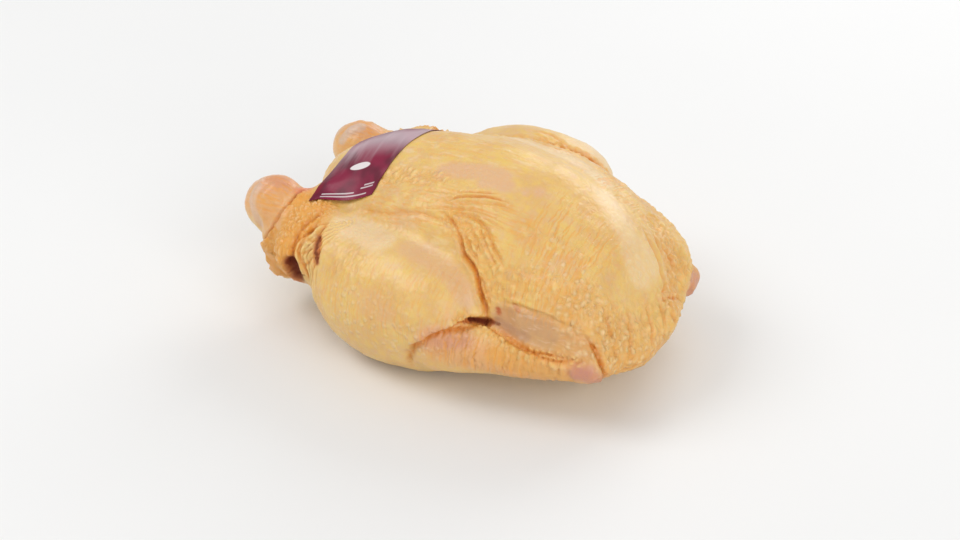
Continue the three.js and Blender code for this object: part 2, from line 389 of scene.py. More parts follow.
ONE_SIDE = [
    (0.9, 1.0, 0.4, 0.7, [(10, -37, 103), (21, -35, 105), (32, -32, 105)]),
    (1.3, 1.1, 0.5, 0.9, [(5, -43, 99), (12, -40, 102), (19, -38, 103), (26, -36, 104),
                          (34, -35, 104), (40, -35, 104)]),
    (0.5, 1.0, 0.3, 0.3, [(-11, -39, 98), (0, -39, 101), (9, -39, 102)]),
    (0.6, 1.0, 0.3, 0.4, [(6, -44, 98), (18, -42, 101), (28, -39, 102), (39, -37, 102),
                          (47, -37, 101)]),
    (0.6, 1.0, 0.3, 0.4, [(-8, -48, 92), (5, -47, 96), (15, -46, 98), (26, -44, 100),
                          (38, -43, 99), (46, -43, 98)]),
    (0.6, 1.0, 0.3, 0.4, [(9, -47, 97), (21, -45, 99), (35, -45, 99), (46, -46, 97)]),
    (0.6, 1.0, 0.3, 0.4, [(23, -47, 98), (32, -47, 98), (43, -48, 96), (48, -48, 94)]),
    (2.0, 1.6, 0.7, 0.9, [(-4, 53, 94), (8, 43, 100), (18, 36, 103), (26, 33, 105), (33, 33, 104),
                          (39, 37, 101), (45, 43, 96), (51, 49, 89)]),
    (1.0, 1.5, 0.5, 0.5, [(-2, 61, 94), (9, 65, 93), (18, 62, 92), (31, 59, 90)]),
    (0.9, 1.2, 0.5, 0.5, [(3, 59, 94), (16, 56, 93), (26, 56, 92)]),
    (1.6, 2.0, 0.8, 0.5, [(100, 9, 83), (107, 5, 78), (113, 4, 71), (117, 0, 66), (120, 0, 60)]),
    (1.2, 1.6, 0.8, 0.5, [(102, 17, 79), (108, 13, 75), (113, 10, 69)]),
    (1.4, 1.8, 0.8, 0.5, [(109, 19, 70), (113, 20, 63), (117, 18, 57)]),
    (1.4, 1.7, 0.8, 0.6, [(117, -2, 67), (120, -1, 60), (122, -8, 57), (125, -9, 52)]),
    (1.8, 1.5, 0.8, 0.9, [(123, -7, 55), (125, 3, 50), (124, 11, 46)]),
    (1.2, 1.5, 0.7, 0.6, [(127, -11, 49), (131, -9, 44), (131, -5, 36)]),
    (1.5, 2.4, 0.8, 0.5, [(128, -26, 30), (126, -40, 26), (120, -52, 22)]),
    (1.2, 1.6, 0.7, 0.5, [(113, -35, 62), (116, -36, 55), (119, -40, 48), (121, -43, 40),
                          (121, -45, 30)]),
    (1.2, 1.6, 0.7, 0.5, [(118, -22, 60), (123, -24, 50), (127, -28, 42), (127, -30, 32)]),
    (1.0, 1.6, 0.7, 0.5, [(108, -48, 65), (112, -51, 55), (117, -53, 45), (118, -53, 34)]),
    (1.2, 1.6, 0.7, 0.5, [(121, -12, 56), (127, -15, 46), (130, -17, 36)]),
    (1.2, 1.6, 0.7, 0.5, [(124, 14, 50), (126, 18, 42), (124, 20, 32)]),
]
# Where one fold lies over another: how far it stands up, how far back it is
# raised, its orange, which also sets the painted shade in the groove at its
# foot, and its route. The upper fold is on the route's left hand.
STRAP_EDGE = [(-90, -36, 77), (-94, -48, 75), (-93, -56, 72), (-95, -63, 66), (-101, -64, 58),
              (-106, -64, 51), (-111, -59, 42), (-111, -55, 32)]
RUFF_EDGE = [(-58, -58, 75), (-65, -65, 72), (-69, -71, 69), (-73, -77, 65), (-74, -80, 58),
             (-72, -79, 50), (-70, -77, 41)]
WING_TOP = [(104, -70, 43), (92, -72, 43), (83, -74, 43), (74, -76, 43), (66, -76, 45),
            (59, -75, 47), (53, -73, 47), (45, -73, 49), (40, -77, 52), (37, -82, 52)]
KNEE_EDGE = [(8, -90, 26), (16, -93, 38), (26, -93, 46), (32, -88, 49), (37, -82, 52),
             (42, -75, 52), (46, -71, 52)]
OVERLAPS = [
    (2.0, 7.0, 0.7, STRAP_EDGE),
    (1.3, 4.0, 0.8, RUFF_EDGE),
    (1.6, 5.0, 0.8, WING_TOP),
    (1.2, 5.0, 1.0, KNEE_EDGE),
    (0.5, 4.0, 0.0, [(53, -66, 62), (66, -66, 64), (81, -66, 64), (97, -64, 59)]),
    (1.4, 5.0, 1.0, [(104, -62, 55), (109, -63, 50), (115, -65, 43), (117, -63, 35),
                     (116, -58, 26)]),
    (1.0, 5.0, 0.2, [(48, -70, 55), (41, -66, 65), (37, -63, 73), (28, -61, 80)]),
]


def both_sides(shapes):
    """The shapes with their mirror images, which keep their left hand."""
    return shapes + [(*sizes, mirrored(route)[::-1]) for *sizes, route in shapes]


creases = both_sides(BOTH_SIDES) + ONE_SIDE

# The solid's skin is welded and rounded. Its back, which it lies on, stays
# coarse; the rest is divided again, and the strips beside the creases once more.
UNDERSIDE = -0.15
EVENING = 0.4
EVENING_ROUNDS = 2

bpy.ops.object.select_all(action="DESELECT")
skin = bpy.data.objects.new("chicken_skin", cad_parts["chicken"].data.copy())
bpy.context.scene.collection.objects.link(skin)
skin.data.materials.clear()
skin.select_set(True)
bpy.context.view_layer.objects.active = skin
bpy.ops.object.mode_set(mode="EDIT")
bpy.ops.mesh.select_all(action="SELECT")
bpy.ops.mesh.remove_doubles(threshold=WELD)
bpy.ops.object.mode_set(mode="OBJECT")
rounding = skin.modifiers.new("rounding", "SUBSURF")
rounding.levels = 1
rounding.render_levels = 1
bpy.ops.object.modifier_apply(modifier="rounding")


def divide(piece, chosen):
    """Divides the chosen faces of a piece once and evens out its points."""
    mesh = piece.data
    bpy.ops.object.mode_set(mode="EDIT")
    bpy.ops.mesh.select_mode(type="FACE")
    bpy.ops.mesh.select_all(action="DESELECT")
    bpy.ops.object.mode_set(mode="OBJECT")
    mesh.polygons.foreach_set("select", chosen)
    bpy.ops.object.mode_set(mode="EDIT")
    bpy.ops.mesh.subdivide(number_cuts=1)
    bpy.ops.mesh.select_all(action="SELECT")
    bpy.ops.mesh.vertices_smooth(factor=EVENING, repeat=EVENING_ROUNDS)
    bpy.ops.object.mode_set(mode="OBJECT")


CREASE_STRIP = 1.5 * MM
STRAP_STRIP = 8.5 * MM
STRAP = [(-78, -38, 78), (-80, -47, 77), (-79, -62, 76), (-80, -72, 71), (-82, -79, 62),
         (-86, -78, 52), (-90, -73, 42), (-93, -67, 34)]
RUFF = [(-57, -56, 76), (-62, -67, 71), (-66, -74, 66), (-67, -78, 57), (-65, -78, 48),
        (-62, -79, 40)]
divide(skin, [face.normal.z > UNDERSIDE for face in skin.data.polygons])
surface = Surface(skin)
strip = np.full(len(surface.rest), FAR_AWAY)
for *_, route in creases + both_sides(OVERLAPS):
    strip = np.minimum(strip, surface.along(route)[0])
for line in (STRAP, mirrored(STRAP), RUFF, mirrored(RUFF)):
    strip = np.minimum(strip, surface.along(line)[0] * CREASE_STRIP / STRAP_STRIP)
divide(skin, [
    face.normal.z > UNDERSIDE and min(strip[v] for v in face.vertices) < CREASE_STRIP
    for face in skin.data.polygons
])
surface = Surface(skin)

# Broad and finer unevenness first, then the creases, then the overlaps.
surface.push(0.8 * surface.noise(22, 3.1) + 0.35 * surface.noise(9, 7.7))
for shape in creases:
    surface.crease(*shape)
for shape in both_sides(OVERLAPS):
    surface.overlap(*shape)

# Small nubs of gristle and flesh at the hocks, the pockets beside the wing and
# under the strap, and the slack skin at the neck: each one's height, its reach
# and its route.
for height, reach, route in [
    (1.6, 3.5, [(-118, -48, 79)]),
    (1.0, 5.0, [(-96, -42, 78)]),
    (1.2, 4.5, [(-116, 36, 76), (-110, 39, 78)]),
    (-3.0, 3.0, [(49, -71, 50), (41, -76, 51)]),
    (-5.5, 6.0, [(-76, -81, 53), (-75, -79, 46), (-76, -76, 40)]),
    (1.2, 9.0, [(68, -68, 55), (90, -68, 52)]),
    (1.4, 8.0, [(105, -71, 37), (111, -69, 36)]),
    (-2.2, 7.0, [(113, 32, 62), (116, 28, 57), (118, 23, 54)]),
    (-4.0, 8.0, [(120, 23, 50), (121, 22, 47), (123, 18, 45), (124, 13, 45)]),
    (1.5, 8.0, [(130, -5, 47), (130, -11, 47), (131, -13, 43)]),
    (-3.5, 16.0, [(-86, 50, 78), (-70, 52, 78), (-54, 52, 77)]),
]:
    surface.push(height * surface.around(route, reach, 0.9))

# Wrinkles that lie side by side: how far they reach from a route, and their
# pitch, height, waviness and orange. They are counted along the route.
WING = [(30, -90, 43), (40, -86, 41), (52, -84, 39), (63, -82, 37), (79, -78, 35), (95, -73, 33)]
NECK = [(105, -60, 58), (112, -56, 52), (118, -49, 46), (124, -35, 44), (129, -20, 44),
        (129, -2, 44), (125, 20, 44), (118, 38, 42)]
BAND = [(16, -51, 94), (31, -55, 90), (39, -58, 83), (44, -62, 75), (48, -65, 67), (51, -67, 60)]
for sides, reach, pitch, height, waviness, orange, route in [
    (2, 15, 4.4, 1.5, 3.0, 0.5, WING),
    (1, 30, 5.4, 0.9, 3.0, 0.3, NECK),
]:
    for line in (route, mirrored(route))[:sides]:
        away, where, length, _ = surface.along(line)
        wander = waviness * (surface.noise(7, 1.3) + 0.7 * surface.noise(3.5, 4.9))
        fold = np.abs(np.sin(np.pi * (where / MM + wander) / pitch))
        here = smooth(away / (reach * MM), 1.0, 0.55) * (0.8 + 0.6 * surface.noise(11, 8.2))
        surface.push(height * (fold - 0.5) * here)
        surface.paint("crease", orange * here * (1 - fold) ** 3)

# The straps are covered with long pebbles, and thin strands of slack skin lie
# along the edge of the leg beside them.
STRAP_REACH = 17
FOOT_REACH = 12
SCALE_SIZE = 2.9
SCALE_HEIGHT = 1.7
RUFF_REACH = 12
STRAND_PITCH = 2.5
STRAND_HEIGHT = 1.1
# How far out from the bird's middle the near and the far straps' relief starts.
NEAR_START = 38 * MM
FAR_START = 60 * MM
START_FADE = 12 * MM
STRAP_FOOT = [(-96, -68, 54), (-101, -66, 44), (-105, -63, 34), (-103, -62, 28)]
NEAR_LINES = (STRAP, STRAP_FOOT, RUFF, STRAP_EDGE, RUFF_EDGE)
FAR_LINES = [mirrored(line)[::-1] for line in NEAR_LINES]
for lines, start in ((NEAR_LINES, NEAR_START), (FAR_LINES, FAR_START)):
    middle, foot, ruff_line, edge, ruff_edge = lines
    on_ruff = surface.beyond(ruff_edge)
    strap = surface.around(middle, STRAP_REACH, 0.4)
    strap = np.maximum(strap, surface.around(foot, FOOT_REACH, 0.4))
    outside = smooth(np.abs(surface.rest[:, 1]), start, start + START_FADE)
    strap = strap * surface.beyond(edge) * (1 - on_ruff) * outside
    scales = surface.cells(SCALE_SIZE, 3.3, (1, 0.8, 0.4))
    surface.push(SCALE_HEIGHT * strap * (scales - 0.5))
    surface.paint("crease", 0.9 * strap * (1 - scales) ** 2)
    surface.paint("deep", strap)
    surface.paint("strap_scales", strap * scales)
    ruff = surface.around(ruff_line, RUFF_REACH, 0.5) * on_ruff * outside
    from_edge = surface.along(ruff_edge)[3] / MM + 1.6 * surface.noise(9, 2.4)
    strand = np.abs(np.sin(np.pi * from_edge / STRAND_PITCH))
    surface.push(STRAND_HEIGHT * ruff * (strand - 0.5))
    surface.paint("crease", 0.35 * ruff * (1 - strand) ** 3)
    surface.paint("tops", 0.9 * ruff * strand)

# Lumps of slack skin, the pebbles of fat round the follicles, which are strong on
# the folds and faint where the skin is tight, and the nubs along the wing's edge.
LUMP_SIZE = 8.0
LUMP_HEIGHT = 1.3
PEBBLE_SIZE = 4.6
PEBBLE_HEIGHT = 1.4
NUB_SIZE = 3.4
NUB_HEIGHT = 1.7
SHOULDER = [(104, 30, 76), (112, 26, 66), (118, 20, 56), (121, 32, 46)]
LOW_SIDE = [(56, -62, 74), (74, -60, 76), (90, -58, 76), (104, -55, 70), (114, -46, 60)]
lumps = surface.cells(LUMP_SIZE, 1.7)
loose = 0.6 * surface.around(BAND, 13)
loose = np.maximum(loose, 0.6 * surface.around(mirrored(BAND), 13))
loose = np.maximum(loose, 0.9 * surface.around(SHOULDER, 16))
loose = np.maximum(loose, 0.5 * surface.around(NECK, 20))
surface.push(LUMP_HEIGHT * loose * (lumps - 0.5))
surface.paint("crease", 0.3 * loose * (1 - lumps) ** 3)

pebbly = 0.2 + 0.3 * surface.noise(30, 2.2)
for sides, strength, reach, route in [
    (2, 1.0, 14, BAND),
    (2, 0.8, 16, LOW_SIDE),
    (1, 0.8, 26, NECK),
    (1, 1.0, 18, SHOULDER),
    (2, 0.8, 9, [(-46, -30, 94), (-33, -29, 98), (-19, -30, 101), (-4, -31, 104)]),
    (2, 0.6, 12, [(60, -40, 92), (76, -42, 90), (90, -40, 86)]),
    (2, 0.4, 26, [(-40, -80, 50), (0, -92, 50)]),
    (2, 1.0, 8, WING_TOP),
]:
    for line in (route, mirrored(route))[:sides]:
        pebbly = np.maximum(pebbly, strength * surface.around(line, reach, 0.7))
for calm in ([(58, -68, 54), (84, -68, 52), (106, -68, 46)], [(-106, -46, 78), (-118, -50, 72)]):
    for line in (calm, mirrored(calm)):
        pebbly = pebbly * (1 - 0.9 * surface.around(line, 13, 0.5))
tops = surface.cells(PEBBLE_SIZE, 0.4, (1, 1, 0.6))
surface.push(PEBBLE_HEIGHT * pebbly * (tops - 0.5))
surface.paint("pebbly", pebbly)
surface.paint("crease", 0.28 * pebbly**2 * (1 - tops) ** 2)
surface.paint("tops", pebbly * tops)
nubs = surface.cells(NUB_SIZE, 5.2)
for line in (WING_TOP, mirrored(WING_TOP)):
    wing_edge = surface.around(line, 4.5, 0.8)
    surface.push(NUB_HEIGHT * wing_edge * (nubs - 0.4))
    surface.paint("tops", wing_edge * nubs)
    surface.paint("crease", 0.5 * wing_edge * (1 - nubs) ** 2)

# Pale dots and rows of beads, and the lines that the pull of the skin draws.
for name, strength, reach, route in [
    ("dots", 0.9, 24, [(-40, -86, 42), (-10, -94, 42), (14, -92, 40)]),
    ("dots", 1.0, 18, [(70, -46, 88), (84, -50, 84), (98, -48, 76)]),
    ("dots", 0.5, 14, [(108, -20, 78), (104, 8, 82)]),
    ("rows", 1.0, 20, [(98, -60, 68), (108, -57, 58), (114, -52, 44), (122, -40, 32),
                       (127, -24, 30)]),
    ("rows", 0.7, 14, [(112, 24, 68), (118, 10, 58), (122, -2, 52)]),
    ("uplines", 0.6, 34, [(-30, -90, 52), (4, -92, 56), (20, -86, 58)]),
    ("uplines", 1.0, 16, [(28, -91, 42), (50, -85, 38), (74, -80, 34)]),
    ("rows", 0.45, 7, [(44, -77, 48), (56, -76, 45), (72, -77, 42), (92, -74, 41)]),
    ("rows", 0.8, 7, [(94, -69, 46), (108, -67, 46)]),
    ("strands", 0.8, 22, [(-40, -42, 88), (-8, -46, 94), (20, -47, 97), (44, -46, 97)]),
    ("strands", 1.0, 20, [(-120, -50, 72), (-98, -52, 74)]),
    ("strands", 1.0, 20, [(-120, 40, 72), (-98, 46, 74)]),
    ("strands", 0.5, 30, [(-20, 0, 112), (20, 0, 114)]),
    ("rosy", 1.0, 24, [(-122, -50, 72), (-104, -50, 74), (-98, -56, 66)]),
    ("rosy", 0.7, 24, [(-122, 38, 70), (-104, 42, 72)]),
    ("rosy", 1.0, 14, [(28, -91, 40), (52, -85, 36), (80, -79, 32), (104, -72, 30)]),
    ("rosy", 1.0, 14, [(28, 91, 40), (52, 85, 36), (80, 75, 32)]),
]:
    surface.paint(name, strength * surface.around(route, reach, 0.6))
# The breast's two sides have such lines as well, high above the wings.
x, y, z = surface.rest.T
side = smooth(x, 44 * MM, 66 * MM) * smooth(x, 110 * MM, 92 * MM)
side = side * smooth(z, 52 * MM, 66 * MM) * smooth(np.abs(y), 6 * MM, 22 * MM)
surface.paint("uplines", side)

# Where the skin is thin the flesh shows pink, where it is stretched over fat it
# is paler, and where a joint or a cut shows it is red, grey or brown. Along the
# keel and at the front the pale is partly a painted highlight. In the deep
# crease by the ruff, the pocket under the strap and the gap beside the wing the
# dark red and brown are partly dark red flesh, partly painted shadow, and the
# recess under the wing's web has a painted greyish-mauve shade.
ragged = 1 + 0.4 * surface.noise(9, 5.5) + 0.25 * surface.noise(4, 6.6)
for name, strength, reach, route in [
    ("pink", 1.0, 10, [(-7, -26, 106), (5, -23, 109), (17, -21, 110), (28, -21, 110)]),
    ("pink", 1.0, 9, [(21, -27, 108), (29, -25, 109), (33, -26, 108)]),
    ("pink", 0.9, 4, [(45, -25, 107)]),
    ("pink", 1.0, 6, [(51, -21, 107)]),
    ("pink", 0.6, 4, [(58, -20, 106)]),
    ("pink", 0.6, 10, [(-22, -51, 83), (-11, -53, 86)]),
    ("pink", 0.7, 11, [(-5, -66, 77), (8, -67, 76), (23, -70, 73)]),
    ("pink", 0.4, 12, [(-16, -93, 54), (-3, -95, 50)]),
    ("pink", 0.8, 10, [(36, -73, 62), (30, -72, 69)]),
    ("pink", 0.8, 13, [(-114, -48, 80), (-104, -43, 80)]),
    ("pink", 0.7, 13, [(-104, 42, 76), (-112, 40, 78)]),
    ("pink", 1.0, 12, [(26, -92, 44), (40, -84, 46)]),
    ("pink", 0.8, 14, [(118, 46, 36), (122, 46, 32)]),
    ("pink", 0.35, 14, [(83, -48, 84)]),
    ("knob", 1.0, 9, [(104, -71, 38), (111, -69, 37), (114, -65, 31)]),
    ("knob", 1.0, 13, [(120, 46, 36), (124, 48, 30)]),
    ("membrane", 1.0, 12, [(58, -68, 55), (75, -68, 56), (92, -67, 53), (106, -66, 49)]),
    ("membrane", 1.0, 12, [(60, 68, 50), (75, 66, 50), (92, 62, 46)]),
    ("membrane", 0.9, 9, [(62, -71, 49), (80, -72, 46), (97, -70, 46)]),
    # Painted greyish-mauve shade in the recess under the wing's web.
    ("hollow_shade", 0.6, 5, [(54, -70, 51), (64, -71, 49), (72, -71, 48)]),
    # Pale skin; along the keel and at the front it is partly a painted highlight.
    ("pale", 0.8, 11, [(8, 32, 104), (36, 26, 106), (54, 26, 103), (68, 22, 99)]),
    ("pale", 0.7, 13, [(77, 7, 99), (89, -1, 94), (102, -11, 85), (113, -18, 72)]),
    ("pale", 0.55, 16, [(101, -9, 86), (107, -7, 81), (112, -6, 74)]),
    ("pale", 0.4, 13, [(112, 20, 66), (107, 28, 72)]),
    ("pale", 1.0, 15, [(-52, -58, 76), (-42, -60, 75), (-24, -66, 76)]),
    ("pale", 0.7, 24, [(20, 80, 84), (44, 70, 84), (56, 60, 76)]),
    ("yellow", 0.9, 20, [(-40, -14, 104), (-20, -11, 109), (1, -6, 113), (30, -5, 114)]),
    ("yellow", 0.7, 14, [(-10, -60, 84), (20, -66, 80)]),
    # The dark red and brown in the deep crease by the ruff, the pocket under the strap and the gap
    # beside the wing are partly dark red flesh, partly painted shadow.
    ("red", 0.8, 1.6, [(-62, -70, 68), (-61, -75, 62), (-58, -78, 57)]),
    ("spot", 0.8, 3.0, [(-62, -70, 68), (-61, -75, 62), (-58, -78, 57)]),
    ("spot", 1.0, 2.4, [(53, -68, 58), (54, -68, 56)]),
    ("spot", 0.5, 2.0, [(62, -66, 63), (66, -67, 61)]),
    ("red", 1.0, 7.0, [(-76, -81, 52), (-75, -79, 46), (-76, -76, 40)]),
    ("spot", 0.8, 8, [(-76, -81, 52), (-76, -78, 44), (-78, -74, 36)]),
    ("red", 1.0, 1.8, [(48, -71, 50), (44, -73, 50.5), (41, -75, 51)]),
    ("red", 0.7, 1.4, [(50, -70, 50), (55, -70, 50)]),
    ("spot", 0.8, 2.6, [(51, -70.5, 50), (44, -73, 50.5), (38, -78, 51)]),
    ("spot", 0.15, 12, [(-100, -62, 30), (-94, -64, 28)]),
    ("spot", 0.25, 6, [(-112, -46, 80), (-104, -44, 79)]),
    ("flesh_cut", 0.8, 6, [(-96, -44, 77), (-92, -40, 78)]),
    ("deep", 0.9, 5, [(57, -72, 47), (72, -75, 44), (88, -74, 42), (102, -71, 43)]),
    ("deep", 0.8, 10, [(60, -80, 38), (80, -78, 34), (96, -74, 32)]),
    ("deep", 0.5, 12, [(113, 20, 66), (120, 12, 54), (126, -4, 46)]),
    ("deep", 0.9, 15, [(114, -52, 34), (124, -38, 26), (129, -20, 26)]),
    ("grey", 0.9, 3.0, [(-118, -48, 79)]),
    ("grey", 0.4, 11, [(-131, -44, 62), (-127, -44, 74)]),
    ("grey", 0.4, 11, [(-131, 44, 60), (-127, 43, 72)]),
    ("flesh_cut", 0.5, 5, [(-131, -42, 58), (-131, 42, 56)]),
    ("grey", 0.6, 5.0, [(-119, -52, 76), (-119, -56, 68), (-112, -58, 58)]),
    ("grey", 0.8, 5.5, [(-119, 32, 70), (-116, 36, 76), (-110, 39, 78)]),
]:
    here = surface.around(route, reach, 0.85)
    surface.paint(name, strength * smooth(ragged * here, 0.0, 0.9))

# The moved skin stays in the box that the solid fills: over its outer EASE it is
# eased in or out to the box's sides.
EASE = 12 * MM
low, high = (np.array(corner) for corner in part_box("chicken"))
moved_low = surface.points.min(0)
moved_high = surface.points.max(0)
near_low = smooth(surface.points, moved_low + EASE, moved_low)
near_high = smooth(surface.points, moved_high - EASE, moved_high)
surface.points += (low - moved_low) * near_low + (high - moved_high) * near_high
skin.data.vertices.foreach_set("co", surface.points.ravel())
for name, values in surface.masks.items():
    painted = skin.data.attributes.new(name, "FLOAT", "POINT")
    painted.data.foreach_set("value", values.astype(np.float32))
skin.data.update()
skin.data.polygons.foreach_set("use_smooth", [True] * len(skin.data.polygons))

# The skin's colours, as light comes back from it.
SKIN = (0.74, 0.46, 0.165)
FAT = (0.82, 0.57, 0.20)
TOPS = (0.85, 0.60, 0.235)
YELLOW = (0.82, 0.56, 0.12)
ORANGE = (0.82, 0.35, 0.045)
DEEP = (0.77, 0.385, 0.085)
NET = (0.86, 0.42, 0.07)
CREASE_SHADE = (0.62, 0.18, 0.012)
FLESH = (0.74, 0.45, 0.26)
ROSY = (0.76, 0.40, 0.17)
BLUSH = (0.70, 0.33, 0.20)
KNOB = (0.58, 0.25, 0.17)
PALE = (0.88, 0.69, 0.44)
BEAD = (0.90, 0.70, 0.38)
MEMBRANE = (0.58, 0.32, 0.155)
SINEW = (0.76, 0.54, 0.38)
HOLLOW_SHADE = (0.43, 0.23, 0.14)
SPOT_AND_SHADE = (0.50, 0.13, 0.03)
RED_SHADE = (0.15, 0.020, 0.001)
GREY = (0.68, 0.50, 0.38)
FLESH_CUT = (0.72, 0.24, 0.13)
# The sizes of the patterns in the skin, in metres.
BLOTCH_SIZE = 20 * MM
SMALL_BLOTCH_SIZE = 4.5 * MM
STREAK_SIZE = 4 * MM
LINE_SIZE = 1.3 * MM
STRAND_SIZE = 1.8 * MM
WRINKLE_SIZE = 3.3 * MM
DOT_SIZE = 4.2 * MM
BEAD_SIZE = 3.7 * MM
FIBRE_SIZE = 2.6 * MM
GRAIN_SIZE = 1.4 * MM
BEND = 3 * MM
BEND_SCALE = 150.0

skin_finish, nodes, skin_shader = new_material("moist_skin")
place = nodes.node("ShaderNodeTexCoord", output=3)
drift = {"Vector": place, "Scale": BEND_SCALE, "Detail": 2.0}
drift = nodes.node("ShaderNodeTexNoise", {}, drift, output=1)
bent = nodes.node(
    "ShaderNodeVectorMath",
    {"operation": "MULTIPLY_ADD"},
    {0: drift, 1: (BEND, BEND, BEND), 2: place},
)
crease = nodes.mask("crease")
pebbly = nodes.mask("pebbly")
scales = nodes.mask("strap_scales")
rows = nodes.mask("rows")
rosy = nodes.mask("rosy")
red = nodes.mask("red")

blotch = nodes.clouds(place, BLOTCH_SIZE, 3.0)
small_blotch = nodes.clouds(bent, SMALL_BLOTCH_SIZE)
streak = nodes.clouds(nodes.stretched(place, 0.3, 1.0, 1.0), STREAK_SIZE)
uplines = nodes.clouds(nodes.stretched(bent, 1.0, 0.10, 0.07), LINE_SIZE, 1.0)
strands = nodes.clouds(nodes.stretched(place, 0.08, 1.0, 1.0), STRAND_SIZE, 1.0)
# A net of fine wrinkles: 0 at its lines and 1 on the skin between them.
net = nodes.pebbles(nodes.stretched(bent, 1.0, 1.0, 0.6), WRINKLE_SIZE, "DISTANCE_TO_EDGE")
net_line = net.between(0.26, 0.0)
net_top = net.between(0.0, 0.5)
dot = nodes.pebbles(bent, DOT_SIZE).between(0.42, 0.18) * nodes.mask("dots")
bead = nodes.pebbles(nodes.stretched(bent, 1.0, 1.0, 0.85), BEAD_SIZE, disorder=0.5)
bead = bead.between(0.62, 0.12)

colour = (blotch.between(0.38, 0.62) * 0.7).over(SKIN, FAT)
colour = (small_blotch.between(0.50, 0.68) * 0.40).over(colour, YELLOW)
colour = (small_blotch.between(0.48, 0.32) * 0.38).over(colour, FLESH)
colour = (nodes.mask("yellow") * streak.between(0.50, 0.66) * 0.6).over(colour, YELLOW)
colour = (nodes.mask("yellow") * streak.between(0.46, 0.34) * 0.4).over(colour, PALE)
# Pale skin; along the keel and at the front it is partly a painted highlight.
colour = (nodes.mask("pale") * (0.4 + 0.6 * blotch)).over(colour, PALE)
colour = (nodes.mask("pink") * (0.6 + 0.5 * small_blotch)).over(colour, FLESH)
colour = (rosy * (0.75 + 0.3 * small_blotch)).over(colour, ROSY)
colour = (rosy * nodes.mask("pink") * 0.8).over(colour, BLUSH)
colour = (nodes.mask("deep") * (0.6 + 0.6 * small_blotch)).over(colour, DEEP)
colour = (nodes.mask("membrane") * (0.6 + 0.5 * small_blotch)).over(colour, MEMBRANE)
fibre = nodes.clouds(nodes.stretched(bent, 0.22, 1.0, 1.0), FIBRE_SIZE, 2.0, 0.6)
colour = (nodes.mask("membrane") * fibre.between(0.52, 0.68) * 0.5).over(colour, SINEW)
# Painted greyish-mauve shade in the recess under the wing's web.
colour = nodes.mask("hollow_shade").over(colour, HOLLOW_SHADE)
colour = nodes.mask("knob").over(colour, KNOB)

# Beads of fat are pale, and the skin between them is a deeper orange.
colour = (nodes.mask("tops").between(0.25, 0.8) * 0.9).over(colour, TOPS)
colour = (net_top * pebbly * 0.30).over(colour, FAT)
colour = (net_line * (0.05 + 0.36 * pebbly)).over(colour, NET)
colour = (strands.between(0.52, 0.36) * nodes.mask("strands") * 0.5).over(colour, ORANGE)
colour = (uplines.between(0.50, 0.36) * nodes.mask("uplines") * 0.5).over(colour, ORANGE)
colour = (dot * 0.32).over(colour, PALE)
colour = (rows * 0.50).over(colour, DEEP)
colour = (rows * bead * 0.55).over(colour, BEAD)
colour = (scales.between(0.45, 1.0) * 0.22).over(colour, PALE)
colour = (crease * 0.85).over(colour, ORANGE)
# Painted shade along the very bottoms of the creases and grooves.
colour = (nodes.mask("crease_shade") * 0.9).over(colour, CREASE_SHADE)
colour = nodes.mask("grey").over(colour, GREY)
colour = nodes.mask("flesh_cut").over(colour, FLESH_CUT)
# Brown spots, and painted shadow in the gaps, the deep crease and the pocket.
colour = nodes.mask("spot").over(colour, SPOT_AND_SHADE)
# Dark red flesh with painted shadow over it in the gaps, the deep crease and the pocket.
colour = red.over(colour, RED_SHADE)
feed(colour, skin_shader, "Base Color")

# Moist skin is glossy on its tight places and duller on its beads and folds. A
# little light goes into it and comes out redder.
SKIN_GLOW = 0.15
GLOW_COLOUR = (1.0, 0.45, 0.18)
GLOW_DEPTH = 3 * MM
SKIN_SHEEN = 0.45
WET_ROUGHNESS = 0.25

shine = 0.30 + 0.16 * small_blotch + 0.08 * pebbly + 0.5 * red
feed(shine, skin_shader, "Roughness")
feed(0.2 - 0.2 * red, skin_shader, "Coat Weight")
skin_shader.inputs["Subsurface Weight"].default_value = SKIN_GLOW
skin_shader.inputs["Subsurface Radius"].default_value = GLOW_COLOUR
skin_shader.inputs["Subsurface Scale"].default_value = GLOW_DEPTH
skin_shader.inputs["Specular IOR Level"].default_value = SKIN_SHEEN
skin_shader.inputs["Coat Roughness"].default_value = WET_ROUGHNESS

# Its relief: the net of wrinkles, the beads and dots, the lines, a faint grain.
RELIEF_HEIGHT = 0.6 * MM
RELIEF_STRENGTH = 0.85

fine = nodes.clouds(place, GRAIN_SIZE, 2.0, 0.6)
relief = net_top * (0.10 + 0.9 * pebbly) + 0.35 * fine
relief = relief + 1.5 * (rows * bead) + 0.7 * dot
relief = relief + 1.5 * (nodes.mask("uplines") * uplines)
relief = relief + 1.1 * (nodes.mask("strands") * strands)
bumps = {"Strength": RELIEF_STRENGTH, "Distance": RELIEF_HEIGHT, "Height": relief}
feed(nodes.node("ShaderNodeBump", inputs=bumps), skin_shader, "Normal")
skin.data.materials.append(skin_finish)

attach(skin, "root")
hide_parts("chicken")

# ---------------------------------------------------------------------------
# The label: a strip cut from thin plastic film and printed burgundy, with a pale
# oval and four small pale bars. It is stuck over the bird's belly, side to side.
# ---------------------------------------------------------------------------

LABEL_STEPS_ALONG = 22
LABEL_STEPS_AROUND = 72
LABEL_LIFT = 0.4 * MM
LABEL_GAP = 2.5 * MM
FILM = 0.3 * MM
RAY_START = 200 * MM
RELAX_ROUNDS = 60
SMOOTH_ANGLE = math.radians(50)
# How far its near end is cut into a shallow arc, as a share of its length.
NEAR_CUT = 0.05
# Its two long edges, seen from above, in millimetres.
REAR_EDGE = [(-83.3, -51), (-86.3, -24), (-82.3, 8), (-82.3, 40)]
FRONT_EDGE = [(-47.3, -39), (-44.3, -20), (-38.3, 7), (-38.3, 38)]


